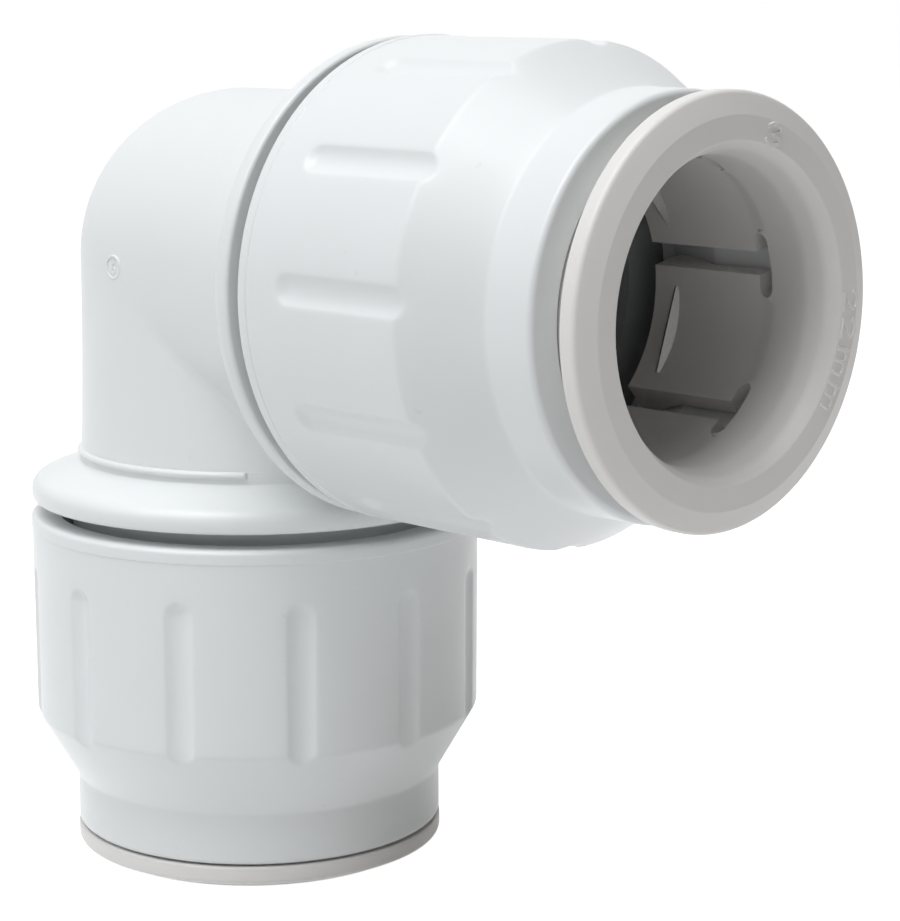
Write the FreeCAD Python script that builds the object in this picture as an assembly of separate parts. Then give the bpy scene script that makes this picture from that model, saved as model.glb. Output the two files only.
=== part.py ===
import FreeCAD, Part
import math
import os

# Push-fit elbow for 22 mm pipe: an equal elbow with a twist-to-lock screw cap on each port.
# Origin: the crossing of the two port axes. Side port along +X, lower port along -Z.
# Each port is drawn along its own axis: "along" is the distance from the crossing, outwards.
# Both caps are unlocked. The side collet is out, the lower collet is pushed in. Millimetres.

os.makedirs("parts", exist_ok=True)
V = FreeCAD.Vector
OUTWARD = V(0, 0, 1)
ACROSS = V(0, 1, 0)
CENTRE = V(0, 0, 0)

# ---- Pipe and water way
pipe_radius = 11.0
stop_height = 1.3              # shoulder that stops the pipe
throat_clearance = 0.15        # collet throat round the pipe
socket_clearance = 0.2         # elbow socket round the pipe
leg_relief = 0.2               # collet bore behind the throat, so that only the throat guides the pipe

# ---- Elbow outside
tube_wall = 4.75
tube_draft = 0.35              # the tube is this much larger where it meets the bead
corner_start = 0.6             # the outer corner's round starts this far past the crossing
bead_spacing = 2.15            # from the other leg's wall to the root of the bead
bead_width = 3.27
bead_set_in = 0.11             # below the cap's rim
bead_back_round = 1.3
bead_back_lean = 1.65          # the bead's back leans towards the port by this much
bead_front_round = 0.4
root_band_height = 0.3         # raised line beside the bead, round the elbow's outer side
root_band_width = 0.5
root_band_gap = 0.5
root_band_round = 0.2
root_band_sink = 0.2
root_band_span = 275.0         # degrees

# ---- Elbow inside
stop_set_back = 0.63           # from the bead's face to the shoulder that stops the pipe
seal_pocket_height = 3.0       # radial room for the seal round the pipe
seal_pocket_depth = 4.4
spigot_wall = 1.6              # round the seal pocket, to the root of the thread
spigot_lead_in = 0.5

# ---- Thread between spigot and cap, twin start, right-handed
lock_travel = 0.95             # the cap moves in by this on a quarter turn
lock_turn = 90.0               # degrees
thread_starts = 2
thread_height = 0.75
thread_root_width = 1.0
thread_crest_width = 0.55
thread_clearance = 0.2         # crest to root
thread_root_sink = 0.15        # how far a rib's root is sunk into its wall
spigot_thread_set_back = 3.13  # from the bead's face
spigot_thread_turns = 1.5
cap_thread_turns = 1.0

# ---- Seal ring
seal_clearance = 0.05          # inside of the ring round the pipe, and outside in its pocket
seal_seat_gap = 0.02

# ---- Spacer ring
spacer_pipe_clearance = 0.3
spacer_pocket_clearance = 0.1
spacer_bore_clearance = 0.35   # flange in the cap's bore
spacer_flange_thickness = 0.65
end_clearance = 0.1            # left at each end of a travel
spacer_seat_gap = 0.05

# ---- Screw cap
cap_gap = 1.26                 # open between bead and cap while unlocked
cap_length = 27.12
cap_wall = 2.59                # rim round the thread's bore
cap_rim_width = 1.15
cap_rim_step = 0.06
cap_rim_round = 0.45
cap_draft = 0.11               # the flank is this much smaller at its shoulder than at the rim
cap_flank_length = 17.07       # from the cap's rim to its shoulder
cap_shoulder_round = 1.2
cap_cone_length = 5.7
cap_cone_end_round = 1.0
cap_nose_wall = 2.8
cap_nose_round = 0.5
cap_mouth_round = 0.3
flute_count = 12
flute_width = 2.5              # hollow grooves, at the flank
flute_depth = 0.48
flute_start = 4.4              # from the cap's rim
cavity_head_room = 1.0         # outside the collet's heads
cavity_straight = 1.3          # behind the spacer's shoulder
grip_cone_length = 6.4

# ---- Collet
collet_gap_out = 2.68          # flange to nose, collet out
collet_travel = 2.53
collet_wall = 1.6
collet_flange_overhang = 0.05  # beyond the cap's nose
collet_flange_thickness = 2.13
collet_rim_round = 0.5
collet_face_cone_width = 1.9   # the outer part of the front face falls back to the rim
collet_face_cone_depth = 0.55
collet_lead_in_flare = 1.07
collet_lead_in_depth = 2.65
collet_lead_in_round = 0.5
collet_throat_depth = 5.8      # from the front face to the T slots
collet_barrel_clearance = 0.15 # in the cap's nose
collet_head_height = 1.45      # above the barrel
collet_head_clearance = 0.1    # from the cap's grip cone
collet_head_chamfer = 0.4
collet_length = 17.6
collet_end_clearance = 0.23    # left between the pushed-in collet and the spacer ring
leg_count = 6
slot_width = 1.85
slot_head_width = 1.35
slot_head_span = 5.1

# ---- Grip teeth, one in each leg
tooth_set_in = 1.95            # biting edge, from the collet's deep end
tooth_half_angle = 17.5        # where the straight edge leaves the bore, degrees
tooth_thickness = 0.35
tooth_lean = 30.0              # degrees from square to the pipe
tooth_seat = 1.05              # how deep a tooth is seated in its leg

# ---- Placing of the two ports: turn of the port, of its flutes and slots, collet pushed in or not
ports = {
    "side": {"turn": 90.0, "flute_phase": 26.5, "slot_phase": 42.0,
             "outer_side": 180.0, "collet_shift": 0.0},
    "lower": {"turn": 180.0, "flute_phase": 29.0, "slot_phase": 36.0,
              "outer_side": 0.0, "collet_shift": collet_travel},
}

# ---- Worked-out radii, from the pipe outwards
waterway_radius = pipe_radius - stop_height
socket_radius = pipe_radius + socket_clearance
seal_pocket_radius = pipe_radius + seal_pocket_height
spigot_radius = seal_pocket_radius + spigot_wall
tube_radius = waterway_radius + tube_wall
tube_end_radius = tube_radius + tube_draft
cap_bore_radius = spigot_radius + thread_height + thread_clearance
cap_rim_radius = cap_bore_radius + cap_wall
cap_shoulder_radius = cap_rim_radius - cap_draft
bead_radius = cap_rim_radius - bead_set_in
throat_radius = pipe_radius + throat_clearance
leg_bore_radius = throat_radius + leg_relief
collet_face_inner_radius = throat_radius + collet_lead_in_flare
collet_barrel_radius = throat_radius + collet_wall
collet_head_radius = collet_barrel_radius + collet_head_height
nose_bore_radius = collet_barrel_radius + collet_barrel_clearance
cap_nose_radius = nose_bore_radius + cap_nose_wall
collet_flange_radius = cap_nose_radius + collet_flange_overhang
cavity_radius = collet_head_radius + cavity_head_room
seal_inner_radius = pipe_radius + seal_clearance
seal_outer_radius = seal_pocket_radius - seal_clearance
seal_section_radius = (seal_outer_radius - seal_inner_radius) / 2
seal_ring_radius = (seal_outer_radius + seal_inner_radius) / 2
spacer_flange_radius = cap_bore_radius - spacer_bore_clearance
tooth_edge_radius = leg_bore_radius * math.cos(math.radians(tooth_half_angle))
tooth_edge_half_width = leg_bore_radius * math.sin(math.radians(tooth_half_angle))
tooth_root_radius = leg_bore_radius + tooth_seat

# ---- Worked-out places along a port, from the crossing outwards
bead_start = tube_radius + bead_spacing
bead_face = bead_start + bead_width
stop_along = bead_face + stop_set_back
cap_start = bead_face + cap_gap
cap_end = cap_start + cap_length
cap_shoulder = cap_start + cap_flank_length
cap_cone_end = cap_shoulder + cap_cone_length
collet_face = cap_end + collet_gap_out + collet_flange_thickness
collet_deep_end = collet_face - collet_length
spacer_end = collet_deep_end - collet_travel - collet_end_clearance
spacer_flange_start = spacer_end - spacer_flange_thickness
spigot_end = spacer_flange_start - lock_travel - end_clearance
socket_end = spigot_end - seal_pocket_depth
thread_lead = lock_travel * 360.0 / lock_turn
thread_pitch = thread_lead / thread_starts
spigot_thread_start = bead_face + spigot_thread_set_back
seal_end = socket_end + seal_seat_gap + 2 * seal_section_radius
spacer_start = seal_end + lock_travel + end_clearance
spacer_shoulder = spacer_end + spacer_seat_gap
grip_cone_start = spacer_shoulder + cavity_straight
grip_cone_end = grip_cone_start + grip_cone_length
grip_slope = (cavity_radius - nose_bore_radius) / grip_cone_length


def rounded_outline(corners):
    """Closed wire in the XZ plane through (along, radius, rounding) corners."""
    points = [V(radius, 0, along) for along, radius, rounding in corners]
    starts = []
    ends = []
    edges = []
    for i, (along, radius, rounding) in enumerate(corners):
        corner = points[i]
        if rounding == 0:
            starts.append(corner)
            ends.append(corner)
            continue
        back = (points[i - 1] - corner).normalize()
        ahead = (points[(i + 1) % len(points)] - corner).normalize()
        half = back.getAngle(ahead) / 2
        run = rounding / math.tan(half)
        middle = corner + (back + ahead).normalize() * (rounding / math.sin(half) - rounding)
        starts.append(corner + back * run)
        ends.append(corner + ahead * run)
        edges.append(Part.Arc(starts[i], middle, ends[i]).toShape())
    for i in range(len(points)):
        after = (i + 1) % len(points)
        if (starts[after] - ends[i]).Length > 1e-6:
            edges.append(Part.LineSegment(ends[i], starts[after]).toShape())
    return Part.Wire(Part.__sortEdges__(edges))


def turned(corners):
    """Solid of revolution about the port axis."""
    return Part.Face(rounded_outline(corners)).revolve(CENTRE, OUTWARD, 360)


def around(shape, count, phase):
    """Copies of a shape spaced evenly about the port axis."""
    copies = []
    for i in range(count):
        copy = shape.copy()
        copy.rotate(CENTRE, OUTWARD, phase + i * 360.0 / count)
        copies.append(copy)
    return copies


def placed(shape, port):
    """A shape drawn along +Z, turned to lie along its port."""
    moved = shape.copy()
    moved.rotate(CENTRE, ACROSS, ports[port]["turn"])
    return moved


def groove_tool(width, depth, surface_radius, low, high):
    """Cutter for a hollow groove along the port axis, with a hollowed lower end."""
    hollow = (width ** 2 / 4 + depth ** 2) / (2 * depth)
    round_start = low + width / 2 - hollow
    tool = turned([
        (round_start, 0, 0),
        (round_start, hollow, hollow),
        (high, hollow, 0),
        (high, 0, 0),
    ])
    tool.translate(V(surface_radius - depth + hollow, 0, 0))
    return tool


def radial_slot(width, low, high, inner, outer):
    """Cutter with round ends: a slot along the axis, cut radially between two radii."""
    half = width / 2
    left_low = V(inner, -half, low + half)
    right_low = V(inner, half, low + half)
    right_high = V(inner, half, high - half)
    left_high = V(inner, -half, high - half)
    outline = Part.Wire([
        Part.Arc(left_low, V(inner, 0, low), right_low).toShape(),
        Part.LineSegment(right_low, right_high).toShape(),
        Part.Arc(right_high, V(inner, 0, high), left_high).toShape(),
        Part.LineSegment(left_high, left_low).toShape(),
    ])
    return Part.Face(outline).extrude(V(outer - inner, 0, 0))


def thread_rib(root_radius, crest_radius, start, turns, phase):
    """One helical rib whose root is sunk a little into the wall that carries it."""
    sink = math.copysign(thread_root_sink, crest_radius - root_radius)
    path = Part.makeHelix(thread_lead, thread_lead * turns, root_radius)
    half_root = thread_root_width / 2
    half_crest = thread_crest_width / 2
    section = Part.makePolygon([
        V(root_radius - sink, 0, -half_root),
        V(crest_radius, 0, -half_crest),
        V(crest_radius, 0, half_crest),
        V(root_radius - sink, 0, half_root),
        V(root_radius - sink, 0, -half_root),
    ])
    rib = Part.Wire(path).makePipeShell([section], True, True)
    rib.rotate(CENTRE, OUTWARD, phase)
    rib.translate(OUTWARD * start)
    return rib


def make_elbow():
    """Mitred tube with a round outer corner, a bead and a threaded spigot at each port."""
    reach = 2 * tube_radius
    tube = turned([
        (-reach, 0, 0),
        (-reach, tube_radius, 0),
        (0, tube_radius, 0),
        (bead_start, tube_end_radius, 0),
        (bead_start, 0, 0),
    ])
    collar = turned([
        (bead_start, 0, 0),
        (bead_start, tube_end_radius, 0),
        (bead_start + bead_back_lean, bead_radius, bead_back_round),
        (bead_face, bead_radius, bead_front_round),
        (bead_face, spigot_radius, 0),
        (spigot_end, spigot_radius, spigot_lead_in),
        (spigot_end, 0, 0),
    ])
    for i in range(thread_starts):
        collar = collar.fuse(thread_rib(spigot_radius, spigot_radius + thread_height,
                                        spigot_thread_start, spigot_thread_turns,
                                        i * 360.0 / thread_starts))
    half_space = Part.makeBox(4 * reach, 4 * reach, 2 * reach, V(-2 * reach, -2 * reach, 0))
    half_space.rotate(CENTRE, ACROSS, 45)
    body = placed(tube, "side").common(half_space)
    body = body.fuse(placed(tube, "lower").cut(half_space))

    corner_half_width = math.sqrt(tube_radius ** 2 - corner_start ** 2)
    corner_box = Part.makeBox(reach, 2 * reach, reach, V(-corner_start - reach, -reach, corner_start))
    profile = Part.Wire([
        Part.Arc(V(-corner_start, -corner_half_width, corner_start),
                 V(-tube_radius, 0, corner_start),
                 V(-corner_start, corner_half_width, corner_start)).toShape(),
        Part.LineSegment(V(-corner_start, corner_half_width, corner_start),
                         V(-corner_start, -corner_half_width, corner_start)).toShape(),
    ])
    corner = Part.Face(profile).revolve(V(-corner_start, 0, corner_start), ACROSS, 90)
    body = body.cut(corner_box).fuse(corner)

    bore = turned([
        (0, 0, 0),
        (0, waterway_radius, 0),
        (stop_along, waterway_radius, 0),
        (stop_along, socket_radius, 0),
        (socket_end, socket_radius, 0),
        (socket_end, seal_pocket_radius, 0),
        (spigot_end, seal_pocket_radius, 0),
        (spigot_end + spigot_lead_in, seal_pocket_radius + spigot_lead_in, 0),
        (spigot_end + spigot_lead_in, 0, 0),
    ])
    for port in ports:
        band_end = bead_start - root_band_gap
        band = turned([
            (band_end - root_band_width, tube_end_radius - root_band_sink, 0),
            (band_end - root_band_width, tube_end_radius + root_band_height, root_band_round),
            (band_end, tube_end_radius + root_band_height, root_band_round),
            (band_end, tube_end_radius - root_band_sink, 0),
        ])
        wedge = Part.makeCylinder(reach, reach, CENTRE, OUTWARD, root_band_span)
        wedge.rotate(CENTRE, OUTWARD, ports[port]["outer_side"] - root_band_span / 2)
        body = body.fuse(placed(collar, port))
        body = body.fuse(placed(band.common(wedge), port))
    body = body.cut(Part.makeSphere(waterway_radius))
    for port in ports:
        body = body.cut(placed(bore, port))
    return body.removeSplitter()


def make_cap(flute_phase):
    """Fluted screw cap: thread, shoulder for the spacer, cone that closes the collet."""
    rim_radius = cap_rim_radius - cap_rim_step
    cap = turned([
        (cap_start, cap_bore_radius, 0),
        (cap_start, cap_rim_radius, cap_rim_round),
        (cap_start + cap_rim_width, cap_rim_radius, 0),
        (cap_start + cap_rim_width, rim_radius, 0),
        (cap_shoulder, cap_shoulder_radius, cap_shoulder_round),
        (cap_cone_end, cap_nose_radius, cap_cone_end_round),
        (cap_end, cap_nose_radius, cap_nose_round),
        (cap_end, nose_bore_radius, cap_mouth_round),
        (grip_cone_end, nose_bore_radius, 0),
        (grip_cone_start, cavity_radius, 0),
        (spacer_shoulder, cavity_radius, 0),
        (spacer_shoulder, cap_bore_radius, 0),
    ])
    flute = groove_tool(flute_width, flute_depth, rim_radius, cap_start + flute_start, cap_end)
    cap = cap.cut(around(flute, flute_count, flute_phase))
    spare_turns = (spigot_thread_turns - cap_thread_turns) / 2
    for i in range(thread_starts):
        rib = thread_rib(cap_bore_radius, cap_bore_radius - thread_height,
                         spigot_thread_start + thread_pitch / 2 + spare_turns * thread_lead,
                         cap_thread_turns, i * 360.0 / thread_starts + spare_turns * 360.0)
        cap = cap.fuse(rib)
    return cap


def make_tooth():
    """Steel plate with a straight biting edge, leaning inwards and down the socket."""
    lean = math.radians(tooth_lean)
    length = (tooth_root_radius - tooth_edge_radius) / math.cos(lean)
    tooth = Part.makeBox(length, 2 * tooth_edge_half_width, tooth_thickness,
                         V(0, -tooth_edge_half_width, 0))
    tooth.rotate(CENTRE, ACROSS, -tooth_lean)
    tooth.translate(V(tooth_edge_radius, 0, collet_deep_end + tooth_set_in))
    return tooth


def make_collet(slot_phase, teeth):
    """Flanged collet: throat, split legs with heads that ride on the cap's cone."""
    head_gap = collet_head_clearance + (collet_head_radius - nose_bore_radius)
    head_along = grip_cone_end - head_gap / grip_slope
    barrel_along = grip_cone_end - (collet_barrel_radius + collet_head_clearance
                                    - nose_bore_radius) / grip_slope
    throat_end = collet_face - collet_throat_depth
    collet = turned([
        (collet_deep_end, leg_bore_radius, 0),
        (collet_deep_end, collet_head_radius - collet_head_chamfer, 0),
        (collet_deep_end + collet_head_chamfer, collet_head_radius, 0),
        (head_along, collet_head_radius, 0),
        (barrel_along, collet_barrel_radius, 0),
        (collet_face - collet_flange_thickness, collet_barrel_radius, 0),
        (collet_face - collet_flange_thickness, collet_flange_radius, 0),
        (collet_face - collet_face_cone_depth, collet_flange_radius, collet_rim_round),
        (collet_face, collet_flange_radius - collet_face_cone_width, collet_face_cone_depth),
        (collet_face, collet_face_inner_radius, collet_lead_in_round),
        (collet_face - collet_lead_in_depth, throat_radius, 0),
        (throat_end, throat_radius, 0),
        (throat_end, leg_bore_radius, 0),
    ])
    reach = 2 * collet_head_radius
    slot = Part.makeBox(reach, slot_width, collet_length - collet_throat_depth,
                        V(0, -slot_width / 2, collet_deep_end - slot_head_width / 2))
    head = radial_slot(slot_head_width, -slot_head_span / 2, slot_head_span / 2, 0, reach)
    head.rotate(CENTRE, V(1, 0, 0), 90)
    head.translate(OUTWARD * (throat_end - slot_head_width / 2))
    slots = around(slot.fuse(head), leg_count, slot_phase)
    return collet.cut(slots).cut(teeth)


def make_spacer():
    """Ring between the seal and the cap's shoulder; its flange faces the spigot's end."""
    inner = pipe_radius + spacer_pipe_clearance
    return turned([
        (spacer_start, inner, 0),
        (spacer_start, seal_pocket_radius - spacer_pocket_clearance, 0),
        (spacer_flange_start, seal_pocket_radius - spacer_pocket_clearance, 0),
        (spacer_flange_start, spacer_flange_radius, 0),
        (spacer_end, spacer_flange_radius, 0),
        (spacer_end, inner, 0),
    ])


def make_seal():
    """Seal ring on the floor of its pocket, drawn unsqueezed."""
    seal = Part.makeTorus(seal_ring_radius, seal_section_radius)
    seal.translate(OUTWARD * (socket_end + seal_seat_gap + seal_section_radius))
    return seal


nodes = {"elbow_body": make_elbow()}
for port, layout in ports.items():
    leg_phase = layout["slot_phase"] + 180.0 / leg_count
    teeth = around(make_tooth(), leg_count, leg_phase)
    inward = OUTWARD * -layout["collet_shift"]
    collet = make_collet(layout["slot_phase"], teeth)
    for shape in [collet] + teeth:
        shape.translate(inward)
    nodes[port + "_screw_cap"] = placed(make_cap(layout["flute_phase"]), port)
    nodes[port + "_collet"] = placed(collet, port)
    nodes[port + "_seal_ring"] = placed(make_seal(), port)
    nodes[port + "_spacer_ring"] = placed(make_spacer(), port)
    for i, tooth in enumerate(teeth):
        nodes[port + "_grip_tooth_" + str(i + 1)] = placed(tooth, port)

for name, shape in nodes.items():
    shape.exportStep("parts/" + name + ".step")
    print(name, "solids", len(shape.Solids), "volume", round(shape.Volume, 2), "valid", shape.isValid())
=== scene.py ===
"""Push-fit elbow: the looks of the moulded shells, collets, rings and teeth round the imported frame."""

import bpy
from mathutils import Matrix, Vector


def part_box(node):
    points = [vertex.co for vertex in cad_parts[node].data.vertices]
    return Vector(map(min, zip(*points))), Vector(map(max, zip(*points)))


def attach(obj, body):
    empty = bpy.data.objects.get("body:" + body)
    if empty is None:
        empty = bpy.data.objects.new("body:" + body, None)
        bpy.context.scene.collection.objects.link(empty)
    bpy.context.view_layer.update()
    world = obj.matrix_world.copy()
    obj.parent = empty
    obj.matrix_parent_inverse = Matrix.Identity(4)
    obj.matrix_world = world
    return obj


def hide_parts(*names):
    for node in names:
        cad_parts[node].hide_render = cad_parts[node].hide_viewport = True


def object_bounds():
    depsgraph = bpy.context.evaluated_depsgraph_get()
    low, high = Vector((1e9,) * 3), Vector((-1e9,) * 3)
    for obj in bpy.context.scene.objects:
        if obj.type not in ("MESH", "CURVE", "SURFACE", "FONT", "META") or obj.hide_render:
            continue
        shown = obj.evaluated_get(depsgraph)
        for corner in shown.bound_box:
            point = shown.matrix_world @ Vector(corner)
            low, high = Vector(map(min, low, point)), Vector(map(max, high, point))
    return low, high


bl_info = {
    "name": "Push-fit elbow",
    "version": (1, 0, 0),
    "blender": (4, 5, 0),
    "location": "3D View > Sidebar > Elbow",
    "description": "Builds the moulded surfaces and finishes of a twist-to-lock push-fit pipe elbow",
    "category": "Object",
}

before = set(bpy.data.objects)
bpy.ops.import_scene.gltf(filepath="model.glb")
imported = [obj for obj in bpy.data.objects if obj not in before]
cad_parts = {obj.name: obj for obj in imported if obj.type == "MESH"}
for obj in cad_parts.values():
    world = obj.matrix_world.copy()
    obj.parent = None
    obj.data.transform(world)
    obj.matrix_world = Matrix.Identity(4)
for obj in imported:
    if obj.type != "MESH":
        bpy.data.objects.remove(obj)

import math

import bmesh
import bpy
import numpy as np
from bpy.props import FloatProperty, FloatVectorProperty, IntProperty, PointerProperty
from mathutils import Matrix, Vector

CAD_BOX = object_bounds()
MM = 0.001
PORTS = ("side", "lower")
# Each port is modelled along +Z, outwards from the crossing of the port axes, and then turned into place.
PORT_TURN = {
    "side": Matrix.Rotation(math.radians(90), 4, "Y"),
    "lower": Matrix.Rotation(math.radians(180), 4, "Y"),
}


def port_box(node, port):
    """The node's box in its port's frame: lowest and highest distance along the port, and its radius."""
    low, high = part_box(node)
    if port == "side":
        return low[0], high[0], high[1]
    return -high[2], -low[2], high[1]


CAP_START, CAP_END, CAP_RADIUS = port_box("side_screw_cap", "side")
CAP_FLANK = CAP_RADIUS - 0.06 * MM
COLLET_DEEP, COLLET_FACE, COLLET_RADIUS = port_box("side_collet", "side")
COLLET_SHIFT = COLLET_FACE - port_box("lower_collet", "lower")[1]
SPIGOT_END = port_box("elbow_body", "side")[1]
BEAD_RADIUS = port_box("elbow_body", "side")[2]
SEAT_PLANE = CAD_BOX[0][2]
MARK_HEIGHT = 0.14 * MM
# Vertices closer than this are welded: in whole shells, at the seams of a ring, and in the fine marks.
SHELL_WELD = 2e-6
RING_WELD = 1e-7
MARK_WELD = 1e-8


# ---------------------------------------------------------------- settings

def length(name, description, default):
    """A size setting, shown as a length."""
    return FloatProperty(name=name, description=description, default=default, unit="LENGTH", precision=5)


class ElbowBodySettings(bpy.types.PropertyGroup):
    tube_radius: length("Tube radius", "Outside of the elbow at its corner", 14.45 * MM)
    tube_end_radius: length(
        "Tube radius at the bead", "Outside of the elbow where it meets a bead", 14.8 * MM)
    corner_start: length("Corner start", "How far past the crossing the outer round begins", 0.6 * MM)
    crease_round: length("Crease round", "Smallest round along the mitre", 0.8 * MM)
    bead_start: length("Bead root", "Where the bead rises from the tube, along the port", 16.6 * MM)
    bead_width: length("Bead width", "From the bead's root to its front face", 3.27 * MM)
    waterway_radius: length("Water way radius", "Bore between the two pipe stops", 9.7 * MM)


class CapSettings(bpy.types.PropertyGroup):
    flute_count: IntProperty(
        name="Flutes", description="Finger grooves round one cap", default=12, min=3, max=36)
    flute_width: length("Flute width", "Width of one groove", 2.5 * MM)
    flute_depth: length("Flute depth", "Depth of one groove", 0.48 * MM)
    flute_start: length("Flute start", "Distance of the grooves from the cap's rim", 4.4 * MM)
    flute_edge: length("Flute edge", "Softness of a groove's edge", 0.16 * MM)
    nose_radius: length("Nose radius", "Outside of the cap behind the collet", 15.7 * MM)


class ColletSettings(bpy.types.PropertyGroup):
    leg_count: IntProperty(
        name="Legs", description="Sprung legs of one collet", default=6, min=3, max=12)
    slot_width: length("Slot width", "Gap between two legs", 1.85 * MM)
    slot_head_span: length("Slot head span", "Length of the cross slot at a leg's root", 5.1 * MM)
    throat_radius: length("Throat radius", "Bore that guides the pipe", 11.15 * MM)
    face_inner_radius: length("Face inner radius", "Where the lead-in starts on the front face", 12.22 * MM)


class MarkSettings(bpy.types.PropertyGroup):
    mark_stroke: length("Mark stroke", "Width of the lettering's strokes", 0.3 * MM)
    mark_stretch: FloatProperty(
        name="Mark stretch", description="Width of the lettering for its height", default=1.7)


class FinishSettings(bpy.types.PropertyGroup):
    body_colour: FloatVectorProperty(
        name="Body colour", description="Moulded elbow", subtype="COLOR", size=3,
        default=(0.79, 0.811, 0.813), min=0, max=1)
    cap_colour: FloatVectorProperty(
        name="Cap colour", description="Moulded screw caps", subtype="COLOR", size=3,
        default=(0.79, 0.811, 0.816), min=0, max=1)
    collet_colour: FloatVectorProperty(
        name="Collet colour", description="Acetal collets", subtype="COLOR", size=3,
        default=(0.775, 0.76, 0.744), min=0, max=1)
    gloss_roughness: FloatProperty(
        name="Plastic roughness", description="Roughness of the moulded surfaces",
        default=0.36, min=0, max=1, subtype="FACTOR")


class StageSettings(bpy.types.PropertyGroup):
    aim: FloatVectorProperty(
        name="Aim", description="Point in the middle of the view", subtype="TRANSLATION", size=3,
        default=(13.75 * MM, 9.94 * MM, -16.72 * MM), precision=5)
    azimuth: FloatProperty(
        name="Azimuth", description="Camera's turn about the vertical", subtype="ANGLE",
        default=math.radians(46.19))
    elevation: FloatProperty(
        name="Elevation", description="Camera's height above the horizon", subtype="ANGLE",
        default=math.radians(10.28))
    distance: length("Distance", "From the camera to the aim point", 220.3 * MM)
    lens: FloatProperty(
        name="Lens", description="Focal length for a 36 mm sensor", default=101.7, min=10, max=300)
    key_power: FloatProperty(
        name="Key power", description="Soft lamp at the upper left, in watts", default=2.5, min=0)
    top_power: FloatProperty(
        name="Top power", description="Soft lamp overhead, in watts", default=2.6, min=0)
    fill_power: FloatProperty(
        name="Fill power", description="Weak warm lamp at the right, in watts", default=0.08, min=0)
    surround: FloatProperty(
        name="Surround", description="Level of the even light from all round", default=0.08, min=0, max=1)
    floor_lift: FloatProperty(
        name="Floor lift", description="How far the seen floor is lifted towards white", default=0.9,
        min=0, max=1)


# ---------------------------------------------------------------- shader nodes

class Socket:
    """A node's output that can be used in Python arithmetic; each operation adds a Math node."""

    def __init__(self, nodes, output):
        self.nodes = nodes
        self.output = output

    def _math(self, operation, *values):
        return self.nodes.add("ShaderNodeMath", {"operation": operation}, dict(enumerate(values)))

    def __add__(self, other):
        return self._math("ADD", self, other)

    def __sub__(self, other):
        return self._math("SUBTRACT", self, other)

    def __mul__(self, other):
        return self._math("MULTIPLY", self, other)

    __radd__ = __add__

    def clamp(self, low, high):
        """Maps low..high onto 0..1 and holds it there."""
        return self.nodes.add("ShaderNodeMapRange", {"interpolation_type": "SMOOTHSTEP"},
                              {"Value": self, "From Min": low, "From Max": high})


class Nodes:
    """Builds one material's node tree."""

    def __init__(self, name):
        self.material = bpy.data.materials.new(name)
        self.material.use_nodes = True
        self.tree = self.material.node_tree
        self.shader = self.tree.nodes["Principled BSDF"]

    def add(self, kind, settings=None, values=None, output=0):
        """Adds a node: its settings first, then the values or links of its inputs."""
        node = self.tree.nodes.new(kind)
        for key, value in (settings or {}).items():
            setattr(node, key, value)
        for key, value in (values or {}).items():
            self.feed(node.inputs[key], value)
        return Socket(self, node.outputs[output])

    def feed(self, target, value):
        """Links a socket or sets a constant."""
        if isinstance(value, Socket):
            self.tree.links.new(value.output, target)
        else:
            target.default_value = value

    def set(self, **values):
        """Feeds the shader's inputs, named with underscores."""
        for key, value in values.items():
            self.feed(self.shader.inputs[key.replace("_", " ")], value)
        return self.material

    def place(self, scale=(1, 1, 1)):
        """Object coordinates, scaled along each axis."""
        here = self.add("ShaderNodeTexCoord", output="Object")
        return self.add("ShaderNodeMapping", {}, {"Vector": here, "Scale": scale})

    def noise(self, scale, detail, vector=None):
        """Noise value at a scale given in waves per metre."""
        return self.add("ShaderNodeTexNoise", {},
                        {"Vector": vector or self.place(), "Scale": scale, "Detail": detail})

    def mix(self, amount, first, second):
        """Blend of two colours."""
        node = self.tree.nodes.new("ShaderNodeMix")
        node.data_type = "RGBA"
        self.feed(node.inputs["Factor"], amount)
        for key, colour in (("A", first), ("B", second)):
            socket = next(s for s in node.inputs if s.name == key and s.type == "RGBA")
            self.feed(socket, colour if isinstance(colour, Socket) else (*colour, 1))
        return Socket(self, next(s for s in node.outputs if s.type == "RGBA"))

    def bump(self, height, distance, strength):
        """Bump normal from a height value and its full height in metres."""
        return self.add("ShaderNodeBump", {}, {"Height": height, "Distance": distance, "Strength": strength})


def moulded_plastic(name, colour, roughness):
    """White moulded polymer: faint cloudiness, fine spark-eroded grain, uneven gloss, tiny dust specks."""
    n = Nodes(name)
    cloud = n.noise(90.0, 3.0).clamp(0.3, 0.7)
    grain = n.noise(5200.0, 2.0)
    flow = n.noise(260.0, 4.0)
    speck = n.noise(1300.0, 0.0).clamp(0.84, 0.90)
    shade = tuple(c * 0.975 for c in colour)
    dusty = tuple(c * 0.86 for c in colour)
    base = n.mix(cloud * 0.6, tuple(colour), shade)
    base = n.mix(speck * 0.35, base, dusty)
    rough = roughness + (flow - 0.5) * 0.10 + speck * 0.15
    height = flow * 0.35 + grain * 0.12
    return n.set(Base_Color=base, Roughness=rough, IOR=1.49, Specular_IOR_Level=0.5,
                 Normal=n.bump(height, 0.03 * MM, 0.35))


def rolled_steel():
    """Bright stainless strip with fine rolling lines."""
    n = Nodes("stainless_strip")
    lines = n.noise(900.0, 3.0, n.place((1.0, 6.0, 6.0)))
    base = n.mix(lines, (0.17, 0.165, 0.16), (0.26, 0.255, 0.25))
    return n.set(Base_Color=base, Metallic=1.0, Roughness=0.34 + lines * 0.14,
                 Normal=n.bump(lines, 0.01 * MM, 0.3))


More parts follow.
